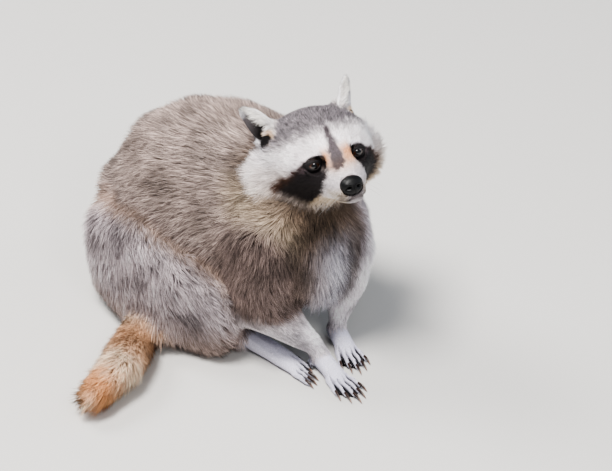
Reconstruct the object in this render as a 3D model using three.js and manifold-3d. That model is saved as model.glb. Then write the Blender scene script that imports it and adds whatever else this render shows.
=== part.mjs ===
// A seated raccoon, life size, as a still museum model. Each part of the body is one closed solid, out to
// the tips of its coat. Millimetres. +Z is up and the trunk faces -Y, so the animal's left side is +X.
// The origin is on the floor, on the flat under the belly that the animal sits on.

import * as THREE from "three";
import { mergeVertices } from "three/addons/utils/BufferGeometryUtils.js";
import Module from "manifold-3d";

const wasm = await Module();
wasm.setup();

// ---- Sizes and places. A station of a lofted part is [x, y, z, half width, half height]

const GAP = 0.4; // clear space left at every parting line
const SIDES = { right: -1, left: 1 };

const TRUNK = [
  [-26, 70, 78, 62, 70],
  [-11, 38, 91, 90, 103],
  [0, 0, 104, 101, 115],
  [8, -40, 113, 102, 113],
  [8, -85, 122, 94, 102],
  [0, -128, 130, 82, 90],
  [-10, -164, 134, 62, 74],
];
const NECK = [
  [6, -88, 156, 72, 64],
  [12, -114, 178, 62, 56],
  [18, -134, 204, 52, 48],
];
// The tail comes out from under the rump and lies on the floor to the animal's right.
const TAIL = [
  [-26, 52, 19, 18, 20],
  [-62, 18, 20, 20, 21],
  [-102, -14, 21, 24, 22],
  [-146, -42, 23, 28, 25],
  [-190, -64, 24, 28, 26],
  [-230, -74, 21, 23, 22],
];
const THIGH = {
  right: [
    [-58, 44, 64, 56, 68],
    [-77, 0, 67, 50, 73],
    [-84, -52, 56, 43, 61],
    [-76, -96, 40, 34, 45],
  ],
  left: [
    [50, 44, 64, 56, 68],
    [76, -2, 65, 48, 71],
    [88, -48, 52, 40, 57],
    [86, -84, 38, 31, 43],
  ],
};
const FORELEG = {
  right: [
    [-48, -126, 134, 41, 46],
    [-58, -134, 94, 36, 38],
    [-60, -142, 62, 28, 32],
    [-46, -167, 43, 19, 18],
    [-33, -184, 25, 13, 12],
  ],
  left: [
    [36, -140, 138, 38, 44],
    [36, -162, 100, 31, 33],
    [30, -168, 64, 22, 24],
    [23, -167, 42, 17, 18],
    [17, -168, 26, 13, 12],
  ],
};

// A foot's own frame has its wrist or ankle over the origin, and -Y is its heading.
const TOES = 5;
const FORE_FOOT = { sole: 38, ankle: 24, width: 24, toeLength: 30, toeRadius: 3.9, claw: 12, fan: 5 };
const HIND_FOOT = { sole: 72, ankle: 26, width: 26, toeLength: 25, toeRadius: 4.2, claw: 10, fan: 3 };
const TUCKED_FOOT = { ...FORE_FOOT, sole: 32, toeLength: 27, claw: 10 };
const FEET = {
  forepaw_right: { ...FORE_FOOT, at: [-30, -186, 0], heading: -16, slant: 0 },
  forepaw_left: { ...TUCKED_FOOT, at: [16, -168, 0], heading: -27, slant: 0 },
  hind_foot_right: { ...HIND_FOOT, at: [-52, -107, 0], heading: 1, slant: 9 },
  hind_foot_left: { ...HIND_FOOT, at: [80, -24, 0], heading: -4, slant: -9 },
};

// The head's own frame has its origin between the eyes, and -Y runs down the muzzle.
const HEAD = { at: [-11, -187, 239], chinUp: 22, leftEarUp: 7, turnedRight: 28 };
const SKULL = [
  [0, 92, -14, 54, 48],
  [0, 68, -7, 61, 49],
  [0, 42, -8, 59, 47],
  [0, 18, -13, 48, 41],
  [0, 0, -20, 32, 29],
  [0, -14, -26, 22, 21],
  [-1, -25, -30, 17, 17.5],
  [-1, -35, -31, 14, 14],
];
const CHEEK = { at: [39, 70, -20], half: [36, 36, 38] };
const NOSE = { at: [-2, -37, -26], half: [11.5, 8, 9.5] };
const EYE = { at: [22.5, 5, -4], half: [8, 8, 8] };
const ORBIT = { at: [24, -8, -4], half: [12, 14, 9] };
// The ear leans out and back, and its cupped face looks outwards.
const EAR = [
  [37, 62, 16, 17, 9],
  [42, 68, 28, 17, 7.5],
  [49, 76, 41, 14, 6],
  [55, 83, 50, 8, 4],
];
const EAR_CUP = { at: [56, 66, 42], half: [10, 12, 16] };
const EAR_ACROSS = [0.44, 0.65, -0.63]; // the way from the ear's upper edge to its lower edge

// ---- Lofted solids

const degrees = THREE.MathUtils.degToRad;
const LEFTWARDS = [1, 0, 0];
const BACKWARDS = [0, 1, 0];

// A closed body of elliptical rings along a smooth line through its stations, whose half widths are
// measured along `across`. Each end closes in a dome, as long as `domes` says. A `roundness` below 1
// squares the ellipses off. `grow` swells the whole body, which makes the cutter for the hollow that it
// leaves in a neighbour.
function loft(stations, { across = LEFTWARDS, sides, roundness = 1, domes, domeRings = 2, grow = 0 }) {
  const line = new THREE.CatmullRomCurve3(stations.map(([x, y, z]) => new THREE.Vector3(x, y, z)));
  const sideways = new THREE.Vector3(...across);
  const points = [];
  const squared = (value) => Math.sign(value) * Math.abs(value) ** roundness;
  const addRing = (i, beyond, scale) => {
    const [, , , halfWidth, halfHeight] = stations[i];
    const t = i / (stations.length - 1);
    const forward = line.getTangent(t);
    const up = new THREE.Vector3().crossVectors(forward, sideways).normalize();
    const side = new THREE.Vector3().crossVectors(up, forward).normalize();
    const centre = line.getPoint(t).addScaledVector(forward, beyond);
    for (let j = 0; j < sides; j++) {
      const angle = (2 * Math.PI * j) / sides;
      const point = centre.clone();
      point.addScaledVector(side, (halfWidth + grow) * scale * squared(Math.cos(angle)));
      points.push(point.addScaledVector(up, (halfHeight + grow) * scale * squared(Math.sin(angle))));
    }
  };
  const domeTurn = (k) => (Math.PI / 2) * (k / (domeRings + 1));
  const addDomeRing = (i, length, k) => addRing(i, length * Math.cos(domeTurn(k)), Math.sin(domeTurn(k)));
  const [startLength, endLength] = domes.map((length) => length + grow);
  const last = stations.length - 1;
  for (let k = 1; k <= domeRings; k++) addDomeRing(0, -startLength, k);
  for (let i = 0; i <= last; i++) addRing(i, 0, 1);
  for (let k = domeRings; k > 0; k--) addDomeRing(last, endLength, k);

  const lastRing = points.length - sides;
  const start = points.push(line.getPoint(0).addScaledVector(line.getTangent(0), -startLength)) - 1;
  const end = points.push(line.getPoint(1).addScaledVector(line.getTangent(1), endLength)) - 1;
  const corners = [];
  for (let j = 0; j < sides; j++) {
    const next = (j + 1) % sides;
    corners.push(start, next, j, end, lastRing + j, lastRing + next);
    for (let r = 0; r < lastRing; r += sides) {
      corners.push(r + j, r + next, r + sides + j, r + next, r + sides + next, r + sides + j);
    }
  }
  return solid(new THREE.BufferGeometry().setFromPoints(points).setIndex(corners));
}

// A ball squashed to three half sizes, on the given side of the middle plane.
function ball({ at: [x, y, z], half }, { side = 1, detail, grow = 0 }) {
  const sphere = new THREE.SphereGeometry(1, detail, Math.round(detail * 0.6)).rotateX(Math.PI / 2);
  return solid(sphere.scale(...half.map((size) => size + grow)).translate(side * x, y, z));
}

// ---- Joining and cutting

function solid(geometry) {
  const bare = new THREE.BufferGeometry().setAttribute("position", geometry.getAttribute("position"));
  const merged = mergeVertices(bare.setIndex(geometry.index), 1e-3);
  const triVerts = new Uint32Array(merged.index.array);
  return new wasm.Manifold(
    new wasm.Mesh({ numProp: 3, vertProperties: merged.getAttribute("position").array, triVerts }),
  );
}

const join = (...bodies) => bodies.reduce((whole, body) => whole.add(body));

// What is left of a body once the others are cut away. A sliver that a cut sets loose is dropped.
function cut(body, ...cutters) {
  const pieces = cutters.reduce((left, cutter) => left.subtract(cutter), body).decompose();
  return pieces.reduce((largest, piece) => (piece.volume() > largest.volume() ? piece : largest));
}

const FLOOR_SIZE = 1200; // more than the animal covers
const floorBlock = solid(
  new THREE.BoxGeometry(FLOOR_SIZE, FLOOR_SIZE, FLOOR_SIZE).translate(0, 0, -FLOOR_SIZE / 2),
);
const onFloor = (body, ...cutters) => cut(body, floorBlock, ...cutters);

// ---- Materials

const finish = (color, roughness) => new THREE.MeshStandardMaterial({ color, roughness, metalness: 0 });
const GREY_COAT = finish("#8b7d72", 0.9);
const PALE_COAT = finish("#c3b6a9", 0.9);
const FACE_COAT = finish("#b3a79d", 0.85);
const EAR_COAT = finish("#d8d2cc", 0.85);
const TAIL_COAT = finish("#c49a6c", 0.9);
const FOOT_COAT = finish("#c9c8c6", 0.8);
const EYE_GLOSS = finish("#1b0f09", 0.08);
const NOSE_LEATHER = finish("#17181b", 0.4);
const CLAW_HORN = finish("#2b2422", 0.35);

// ---- The whole animal, and the frames that its head and feet are built in

const raccoon = new THREE.Group();

function part(name, body, material, frame = raccoon) {
  const { vertProperties, triVerts } = body.getMesh();
  const geometry = new THREE.BufferGeometry();
  geometry.setAttribute("position", new THREE.BufferAttribute(vertProperties, 3));
  geometry.setIndex(new THREE.BufferAttribute(triVerts, 1));
  geometry.computeVertexNormals();
  const mesh = new THREE.Mesh(geometry, material);
  mesh.name = name;
  frame.add(mesh);
}

function frameAt([x, y, z], [turnX, turnY, turnZ]) {
  const frame = new THREE.Group();
  frame.position.set(x, y, z);
  frame.rotation.set(degrees(turnX), degrees(turnY), degrees(turnZ), "ZXY");
  frame.updateMatrix();
  raccoon.add(frame);
  return frame;
}

// ---- Head

const skull = (grow) => loft(SKULL, { sides: 18, domes: [16, 6], grow });
const cheek = (side, grow) => ball(CHEEK, { side, detail: 10, grow });
const headWhole = (grow) => join(skull(grow), cheek(SIDES.right, grow), cheek(SIDES.left, grow));
const nosePad = (grow) => ball(NOSE, { detail: 10, grow });
const eyeball = (side, grow) => ball(EYE, { side, detail: 9, grow });
const orbit = (side) => ball(ORBIT, { side, detail: 8 });

function ear(side, grow) {
  const stations = EAR.map(([x, ...rest]) => [side * x, ...rest]);
  const across = [side * EAR_ACROSS[0], EAR_ACROSS[1], EAR_ACROSS[2]];
  return loft(stations, { across, sides: 10, domes: [6, 5], domeRings: 1, grow });
}

const headFrame = frameAt(HEAD.at, [-HEAD.chinUp, -HEAD.leftEarUp, -HEAD.turnedRight]);
const bothSides = (shape) => Object.values(SIDES).map((side) => shape(side, GAP));
const onHead = [nosePad(GAP), ...bothSides(eyeball), ...bothSides(orbit), ...bothSides(ear)];
part("head", cut(headWhole(0), ...onHead), FACE_COAT, headFrame);
part("nose", nosePad(0), NOSE_LEATHER, headFrame);
for (const [name, side] of Object.entries(SIDES)) {
  part(`eye_${name}`, eyeball(side, 0), EYE_GLOSS, headFrame);
  part(`ear_${name}`, cut(ear(side, 0), ball(EAR_CUP, { side, detail: 10 })), EAR_COAT, headFrame);
}
const headHollow = join(headWhole(GAP), ...bothSides(ear)).transform(headFrame.matrix.elements);

// ---- Feet

const sole = ({ sole: length, width, ankle, toeRadius }, grow) =>
  loft(
    [
      [0, 4, ankle * 0.52, width * 0.44, ankle * 0.5],
      [0, -length * 0.45, ankle * 0.38, width * 0.45, ankle * 0.4],
      [0, -length, toeRadius * 1.1, width * 0.52, toeRadius * 1.35],
    ],
    { sides: 10, domes: [ankle * 0.4, toeRadius * 1.2], domeRings: 1, grow },
  );

// The five toes fan out from the front of the sole. On a hind foot each starts behind its outer
// neighbour, by its `slant`. The answer is the place of a station at a share of the toe's length.
function toePlace({ sole: length, width, toeLength, toeRadius, fan, slant }, i) {
  const place = i - (TOES - 1) / 2;
  const turn = degrees(fan) * place;
  const long = toeLength * (1 - 0.05 * place ** 2);
  const setBack = toeRadius * 0.8 * Math.abs(place) + slant * place + Math.abs(slant);
  const [x, y] = [place * width * 0.21, -length + setBack];
  return (share) => [x + Math.sin(turn) * long * share, y - Math.cos(turn) * long * share];
}

function toe(foot, i, grow) {
  const at = toePlace(foot, i);
  const r = foot.toeRadius;
  const stations = [
    [...at(-0.15), r, r * 0.9, r],
    [...at(0.4), r * 1.2, r * 0.8, r * 0.9],
    [...at(0.86), r * 0.75, r * 0.8, r * 0.78],
  ];
  return loft(stations, { sides: 6, domes: [r, r * 0.9], domeRings: 0, grow });
}

function claw(foot, i, grow) {
  const at = toePlace(foot, i);
  const r = foot.toeRadius;
  const reach = foot.claw / foot.toeLength;
  const stations = [
    [...at(0.9), r, 1.4, 2],
    [...at(0.9 + reach / 2), r * 1.05, 1.2, 1.7],
    [...at(0.9 + reach), 1.4, 0.5, 0.7],
  ];
  return loft(stations, { sides: 4, domes: [1, 0.6], domeRings: 0, grow });
}

const toeNumbers = [...Array(TOES).keys()];
const footWhole = (foot, grow) => join(sole(foot, grow), ...toeNumbers.map((i) => toe(foot, i, grow)));
const footHollow = {};
for (const [name, foot] of Object.entries(FEET)) {
  const frame = frameAt(foot.at, [0, 0, foot.heading]);
  part(name, onFloor(footWhole(foot, 0), ...toeNumbers.map((i) => claw(foot, i, GAP))), FOOT_COAT, frame);
  for (const i of toeNumbers) part(`${name}_claw_${i + 1}`, onFloor(claw(foot, i, 0)), CLAW_HORN, frame);
  footHollow[name] = footWhole(foot, GAP).transform(frame.matrix.elements);
}

// ---- Legs, trunk, neck and tail. The smaller part keeps its shape and leaves a hollow in the larger.

const foreleg = (name, grow) => loft(FORELEG[name], { sides: 12, domes: [36, 10], grow });
const thigh = (name, grow) => loft(THIGH[name], { sides: 16, roundness: 0.7, domes: [46, 24], grow });
const tail = (grow) => loft(TAIL, { across: BACKWARDS, sides: 12, domes: [12, 28], grow });
const neck = (grow) => loft(NECK, { sides: 16, domes: [26, 20], grow });
const trunk = loft(TRUNK, { sides: 16, domes: [36, 26] });

const names = Object.keys(SIDES);
const forelegHollows = names.map((name) => foreleg(name, GAP));
const thighHollows = names.map((name) => thigh(name, GAP));
const forepawHollows = names.map((name) => footHollow[`forepaw_${name}`]);
const hindFootHollows = names.map((name) => footHollow[`hind_foot_${name}`]);
const aroundThigh = [...forelegHollows, ...hindFootHollows, tail(GAP)];

part("neck", cut(neck(0), headHollow, ...forelegHollows), GREY_COAT);
part("trunk", onFloor(trunk, headHollow, neck(GAP), ...aroundThigh, ...thighHollows), GREY_COAT);
part("tail", onFloor(tail(0), ...hindFootHollows), TAIL_COAT);
for (const name of names) {
  part(`thigh_${name}`, onFloor(thigh(name, 0), ...aroundThigh), GREY_COAT);
  part(`foreleg_${name}`, onFloor(foreleg(name, 0), headHollow, ...forepawHollows), PALE_COAT);
}

export default raccoon;
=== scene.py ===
import math

import bmesh
import bpy
import numpy as np
from mathutils import Matrix, Vector, noise
from mathutils.bvhtree import BVHTree
from mathutils.kdtree import KDTree


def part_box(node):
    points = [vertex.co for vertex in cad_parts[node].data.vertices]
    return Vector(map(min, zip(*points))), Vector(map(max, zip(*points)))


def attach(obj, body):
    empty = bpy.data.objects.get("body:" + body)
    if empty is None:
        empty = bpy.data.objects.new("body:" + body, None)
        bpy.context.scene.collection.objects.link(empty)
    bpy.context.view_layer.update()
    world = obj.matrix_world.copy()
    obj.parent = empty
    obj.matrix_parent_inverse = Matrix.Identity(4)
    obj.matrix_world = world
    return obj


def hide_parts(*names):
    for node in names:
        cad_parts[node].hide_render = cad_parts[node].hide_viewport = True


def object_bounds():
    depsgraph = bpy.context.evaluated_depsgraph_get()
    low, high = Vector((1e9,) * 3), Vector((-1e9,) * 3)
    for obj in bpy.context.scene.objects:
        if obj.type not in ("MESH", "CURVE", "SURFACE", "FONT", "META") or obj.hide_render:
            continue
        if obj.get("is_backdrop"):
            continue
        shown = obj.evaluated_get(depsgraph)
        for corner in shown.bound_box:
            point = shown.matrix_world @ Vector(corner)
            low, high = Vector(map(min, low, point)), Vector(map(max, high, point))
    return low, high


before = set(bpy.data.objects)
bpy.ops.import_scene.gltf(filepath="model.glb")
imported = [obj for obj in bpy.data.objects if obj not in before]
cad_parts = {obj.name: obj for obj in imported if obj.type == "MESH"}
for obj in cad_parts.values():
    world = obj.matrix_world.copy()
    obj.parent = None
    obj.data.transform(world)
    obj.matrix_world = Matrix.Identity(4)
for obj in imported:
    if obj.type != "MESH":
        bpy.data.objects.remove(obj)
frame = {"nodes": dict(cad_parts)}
cad_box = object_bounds()

# ---------------------------------------------------------------------------
# Camera. A long lens from the animal's right front, looking well down, so that
# the verticals hardly converge.
AZIMUTH, ELEVATION = math.radians(-48), math.radians(32)
DISTANCE = 3.2
PIXELS_PER_METRE = 960
FRAME_WIDTH, FRAME_HEIGHT = 612, 471
ORIGIN_AT = (206, 287)  # where the point under the trunk falls in the frame

towards_camera = Vector(
    (
        math.sin(AZIMUTH) * math.cos(ELEVATION),
        -math.cos(AZIMUTH) * math.cos(ELEVATION),
        math.sin(ELEVATION),
    )
)
camera_right = Vector((math.cos(AZIMUTH), math.sin(AZIMUTH), 0))
camera_up = towards_camera.cross(camera_right)
aim = camera_right * ((FRAME_WIDTH / 2 - ORIGIN_AT[0]) / PIXELS_PER_METRE)
aim += camera_up * ((ORIGIN_AT[1] - FRAME_HEIGHT / 2) / PIXELS_PER_METRE)
camera = bpy.data.objects.new("camera", bpy.data.cameras.new("camera"))
camera.data.sensor_width = 36
camera.data.lens = PIXELS_PER_METRE * DISTANCE / FRAME_WIDTH * 36
camera.matrix_world = Matrix.Translation(aim + towards_camera * DISTANCE) @ Matrix(
    (camera_right, camera_up, towards_camera)
).transposed().to_4x4()
bpy.context.scene.collection.objects.link(camera)
bpy.context.scene.camera = camera

# ---------------------------------------------------------------------------
# Studio. A plain pale floor, one large soft light high on the left, a small one
# in front for the eyes, a weak one on the right, a rim light and a pale room.
FLOOR_HALF = 4.0
FLOOR_COLOURS = (0.56, 0.55, 0.53, 1), (0.5208, 0.5115, 0.4929, 1)
ROOM_COLOUR = (0.80, 0.88, 1.0, 1)
ROOM_STRENGTH = 0.36
LIT_POINT = Vector((0, 0, 0.12))  # the middle of the animal, where the lamps point
LAMPS = {  # place, size, watts and colour
    "key": ((-1.1, -0.1, 2.9), 1.1, 165, (1.0, 0.97, 0.94)),
    "front": ((-1.0, -2.1, 1.9), 0.8, 26, (1.0, 0.98, 0.96)),
    "fill": ((2.0, -1.6, 1.3), 2.2, 20, (0.88, 0.94, 1.0)),
    "rim": ((-0.5, 2.0, 2.2), 1.3, 60, (1.0, 0.97, 0.95)),
}


class Socket:
    """A shader socket that takes part in plain arithmetic."""

    def __init__(self, nodes, out):
        self.nodes, self.out = nodes, out

    def maths(self, operation, a, b):
        return self.nodes.add("ShaderNodeMath", {"operation": operation}, {0: a, 1: b})

    def __add__(self, other):
        return self.maths("ADD", self, other)

    def __radd__(self, other):
        return self.maths("ADD", other, self)

    def __sub__(self, other):
        return self.maths("SUBTRACT", self, other)

    def __rsub__(self, other):
        return self.maths("SUBTRACT", other, self)

    def __mul__(self, other):
        return self.maths("MULTIPLY", self, other)

    def __rmul__(self, other):
        return self.maths("MULTIPLY", other, self)

    def __pow__(self, other):
        return self.maths("POWER", self, other)


class Finish:
    """A material with one Principled shader, and the nodes that feed it."""

    def __init__(self, name, **uniform):
        self.material = bpy.data.materials.new(name)
        self.material.use_nodes = True
        self.tree = self.material.node_tree
        self.shader = next(n for n in self.tree.nodes if n.type == "BSDF_PRINCIPLED")
        for socket, value in uniform.items():
            self.shader.inputs[socket.replace("_", " ")].default_value = value

    def add(self, kind, settings=None, values=None, out=0):
        node = self.tree.nodes.new(kind)
        for key, value in (settings or {}).items():
            if key == "stops":
                ramp = node.color_ramp.elements
                while len(ramp) < len(value):
                    ramp.new(0.5)
                for element, (place, colour) in zip(ramp, value):
                    element.position, element.color = place, colour
            else:
                setattr(node, key, value)
        for key, value in (values or {}).items():
            if isinstance(value, Socket):
                self.tree.links.new(value.out, node.inputs[key])
            else:
                node.inputs[key].default_value = value
        return Socket(self, node.outputs[out])

    def feed(self, socket, value):
        self.tree.links.new(value.out, self.shader.inputs[socket])

    def blend(self, factor, a, b, way="MIX"):
        return self.add(
            "ShaderNodeMix",
            {"data_type": "RGBA", "blend_type": way},
            {0: factor, 6: a, 7: b},
            out=2,
        )

    def noise(self, scale, detail=3.0, vector=None, roughness=0.5):
        where = vector or self.add("ShaderNodeTexCoord", out=3)
        return self.add(
            "ShaderNodeTexNoise",
            None,
            {"Vector": where, "Scale": scale, "Detail": detail, "Roughness": roughness},
        )

    def bump(self, height, strength, distance):
        return self.add(
            "ShaderNodeBump", None, {"Height": height, "Strength": strength, "Distance": distance}
        )


def show(name, mesh):
    """A named object for a mesh, linked to the scene."""
    made = bpy.data.objects.new(name, mesh)
    bpy.context.scene.collection.objects.link(made)
    return made


floor_mesh = bpy.data.meshes.new("floor")
corners = [(x, y, 0) for x, y in ((-1, -1), (1, -1), (1, 1), (-1, 1))]
floor_mesh.from_pydata([Vector(c) * FLOOR_HALF for c in corners], [], [(0, 1, 2, 3)])
floor_finish = Finish("floor_paint", Roughness=0.8)
worn = floor_finish.noise(3.0) * 0.15
floor_finish.feed("Base Color", floor_finish.blend(worn, *FLOOR_COLOURS))
floor_mesh.materials.append(floor_finish.material)
show("floor", floor_mesh)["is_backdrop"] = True

for lamp_name, (lamp_at, size, watts, colour) in LAMPS.items():
    lamp = bpy.data.lights.new(lamp_name, "AREA")
    lamp.shape, lamp.size, lamp.energy, lamp.color = "DISK", size, watts, colour
    lamp_object = show(lamp_name, lamp)
    lamp_object.location = lamp_at
    beam = LIT_POINT - Vector(lamp_at)
    lamp_object.rotation_euler = beam.to_track_quat("-Z", "Y").to_euler()

room = bpy.data.worlds.new("room")
room.use_nodes = True
room.node_tree.nodes["Background"].inputs["Color"].default_value = ROOM_COLOUR
room.node_tree.nodes["Background"].inputs["Strength"].default_value = ROOM_STRENGTH
bpy.context.scene.world = room
bpy.context.scene.view_settings.look = "AgX - Medium High Contrast"

# ---------------------------------------------------------------------------
# Skin. One tanned hide over the whole form, drawn tight on the muzzle, ears and
# fingers and lying deep under the coat elsewhere. It has no seam that shows.
MM = 0.001
GRAIN = 1.5 * MM  # the size of the skin's smallest face
GAP = 0.5 * MM  # closes the joints between the parts of the form
HEAD_AT = Vector((-11, -187, 239)) * MM
HEAD_TURN = (
    Matrix.Rotation(math.radians(-28), 3, "Z")
    @ Matrix.Rotation(math.radians(-22), 3, "X")
    @ Matrix.Rotation(math.radians(-7), 3, "Y")
)
TURN = np.array(HEAD_TURN)
EYE_AT = {side: np.array((22.5 * side, 5, -4)) for side in (-1, 1)}  # in the head, mm
EYE_RADIUS = 8.0
# the way each foot points, in degrees, and the length of its fingers, in mm
HEADINGS = {"forepaw_right": -16, "forepaw_left": -27, "hind_foot_right": 1, "hind_foot_left": -4}
FINGER = {"forepaw_right": 26, "forepaw_left": 24, "hind_foot_right": 19, "hind_foot_left": 19}

nodes = frame["nodes"]
flesh = [n for n in nodes if n != "nose" and "claw" not in n]
replaced = [n for n in flesh if not n.startswith("eye")]


def smooth(x, low, high):
    """0 below low and 1 above high, with soft ends. low may be the larger."""
    t = np.clip((x - low) / (high - low), 0, 1)
    return t * t * (3 - 2 * t)


def in_head(points):
    """Points in the head's own frame, in mm: x to its left, -y down the muzzle."""
    return (points - np.array(HEAD_AT)) @ TURN / MM


def from_head(places):
    return places * MM @ TURN.T + np.array(HEAD_AT)


def put_in_head(piece, place, turn):
    spot = HEAD_AT + HEAD_TURN @ Vector(place * MM)
    piece.matrix_world = Matrix.Translation(spot) @ (HEAD_TURN @ turn).to_4x4()


def unit(v):
    return v / np.maximum(np.linalg.norm(v, axis=-1, keepdims=True), 1e-12)


def hump(distance, size):
    """1 in the middle, dying away to either side."""
    return np.exp(-((distance / size) ** 2))


def rows_of(items, key, width, kind=float):
    """One property of all the items of a mesh, as rows of numbers."""
    flat = np.empty(len(items) * width, kind)
    items.foreach_get(key, flat)
    return flat.reshape(-1, width)


def read(mesh):
    """A mesh's points, its edges and its triangles as arrays."""
    mesh.calc_loop_triangles()
    triangles = rows_of(mesh.loop_triangles, "vertices", 3, np.int64)
    return rows_of(mesh.vertices, "co", 3), rows_of(mesh.edges, "vertices", 2, np.int64), triangles


def tree_of(points, triangles):
    return BVHTree.FromPolygons([Vector(p) for p in points], triangles.tolist())


def spread(values, edges, rounds, rate=0.5):
    """values evened out over the mesh by stepping along its edges. rate may vary."""
    count = len(values)
    a, b = edges.T
    degree = np.maximum(np.bincount(a, minlength=count) + np.bincount(b, minlength=count), 1)
    flat = values.reshape(count, -1).copy()
    pace = np.broadcast_to(np.asarray(rate, float).reshape(-1, 1), (count, 1))
    for _ in range(rounds):
        for k in range(flat.shape[1]):
            column = flat[:, k]
            around = np.bincount(a, column[b], count) + np.bincount(b, column[a], count)
            flat[:, k] = column + pace[:, 0] * (around / degree - column)
    return flat.reshape(values.shape)


def normals_of(points, triangles):
    p = points[triangles]
    face = np.cross(p[:, 1] - p[:, 0], p[:, 2] - p[:, 0])
    total = np.stack(
        [
            sum(np.bincount(triangles[:, c], face[:, k], len(points)) for c in range(3))
            for k in range(3)
        ],
        axis=1,
    )
    return unit(total)


def write(mesh, points):
    mesh.vertices.foreach_set("co", np.asarray(points, np.float32).ravel())
    mesh.update()


def with_modifier(mesh, kind, weights=None, **settings):
    """The mesh that a modifier makes of this one, by weights of 0 and 1 if they are given."""
    holder = show("holder", mesh)
    if weights is not None:
        settings["vertex_group"] = holder.vertex_groups.new(name="weights").name
        for level in (0.0, 1.0):
            at_level = np.nonzero(weights == level)[0].tolist()
            holder.vertex_groups[0].add(at_level, level, "REPLACE")
    added = holder.modifiers.new("made", kind)
    for key, value in settings.items():
        setattr(added, key, value)
    graph = bpy.context.evaluated_depsgraph_get()
    made = bpy.data.meshes.new_from_object(holder.evaluated_get(graph))
    bpy.data.objects.remove(holder)
    return made


# the drawn form, its parts grown a little so that they run together
form = bmesh.new()
owners, owner_points, owner_faces = [], [], []
for name in flesh:
    part = nodes[name].data.copy()
    part.transform(nodes[name].matrix_world)
    start = len(owner_points)
    owner_points += [v.co.copy() for v in part.vertices]
    owner_faces += [[start + i for i in face.vertices] for face in part.polygons]
    owners += [name] * len(part.polygons)
    form.from_mesh(part)
    bpy.data.meshes.remove(part)
bmesh.ops.remove_doubles(form, verts=form.verts, dist=0.01 * MM)
form.normal_update()
for v in form.verts:
    v.co += v.normal * GAP
skin_mesh = bpy.data.meshes.new("form")
form.to_mesh(skin_mesh)
form.free()
skin_mesh = with_modifier(skin_mesh, "REMESH", mode="VOXEL", voxel_size=GRAIN)


def refine(mesh, wanted):
    """Cuts the faces whose middles are wanted into four."""
    work = bmesh.new()
    work.from_mesh(mesh)
    centres = np.array([face.calc_center_median() for face in work.faces])
    chosen = wanted(centres)
    cut = {edge for face, yes in zip(work.faces, chosen) if yes for edge in face.edges}
    bmesh.ops.subdivide_edges(work, edges=list(cut), cuts=1, use_grid_fill=True)
    bmesh.ops.triangulate(work, faces=[face for face in work.faces if len(face.verts) > 4])
    work.to_mesh(mesh)
    work.free()


def eye_distance(places):
    """How far each place is from the middle of the nearer eye."""
    return np.min([np.linalg.norm(places - at, axis=1) for at in EYE_AT.values()], axis=0)


def claw_ends(foot, number):
    """The middle of a claw's root and its tip, in metres."""
    claw = nodes[f"{foot}_claw_{number}"]
    at = np.array([claw.matrix_world @ v.co for v in claw.data.vertices])
    heel = np.mean([np.array(corner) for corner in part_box(foot)], axis=0)
    far = np.linalg.norm((at - heel)[:, :2], axis=1)
    return at[far < far.min() + 3.5 * MM].mean(axis=0), at[np.argmax(far)]


def finger_place(places, foot):
    """0 on a finger's middle line and 0.5 halfway to the next one, and how far along that
    line and off it a place is, in mm, along from the root of its claw."""
    gaps, alongs = [], []
    for number in range(1, 6):
        start, tip = claw_ends(foot, number)
        ahead = unit((tip - start)[:2])
        offset = (places - start)[:, :2] / MM
        gaps.append(np.abs(offset @ np.array((-ahead[1], ahead[0]))))
        alongs.append(offset @ ahead)
    order = np.argsort(gaps, axis=0)
    near, next_near = np.take_along_axis(np.array(gaps), order[:2], axis=0)
    along = np.take_along_axis(np.array(alongs), order[:1], axis=0)[0]
    return near / (near + next_near), along, near


def on_fingers(places):
    found = (places[:, 2] > 2.2 * MM) & (places[:, 2] < 12 * MM)
    any_finger = np.zeros(len(places), bool)
    for foot, long in FINGER.items():
        _, along, near = finger_place(places, foot)
        any_finger |= (along > -long) & (along < 6) & (near < 7)
    return found & any_finger


def on_lids(places):
    spot = in_head(places)
    return (eye_distance(spot) < 12) & (spot[:, 1] < 4)


def on_muzzle(places):
    spot = in_head(places)
    return (spot[:, 1] < 4) & (spot[:, 2] < -12)


refine(skin_mesh, lambda p: (eye_distance(in_head(p)) < 16) | on_muzzle(p) | on_fingers(p))
refine(skin_mesh, lambda p: on_lids(p) | on_fingers(p))
points, edges, triangles = read(skin_mesh)

# which part of the form each point belongs to, and how deep the coat is there
form_tree = BVHTree.FromPolygons(owner_points, owner_faces)
nearest = [form_tree.find_nearest(Vector(p))[2] for p in points]
part_names = sorted(set(owners))
part_of = np.array([part_names.index(owners[i]) for i in nearest])


def belongs(word):
    """1 for the points of the parts whose name has this word in it."""
    wanted = [i for i, name in enumerate(part_names) if word in name]
    return np.isin(part_of, wanted).astype(float)


on_head = belongs("head") + belongs("eye")
on_ear, on_tail, on_foreleg = belongs("ear_"), belongs("tail"), belongs("foreleg")
on_foot, on_thigh = belongs("foot") + belongs("forepaw"), belongs("thigh")
h = in_head(points)
face_like = on_head * smooth(h[:, 1], 45, 5)
fine = np.clip(on_head * (h[:, 1] < 40) + on_ear + on_foot, 0, 1)
rounding = 0.5 * np.clip(1 - on_ear - on_foot - face_like, 0.0, 1)
points = spread(points, edges, 120, spread(rounding, edges, 6))
points = spread(points, edges, 3, 0.35)
h = in_head(points)

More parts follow.
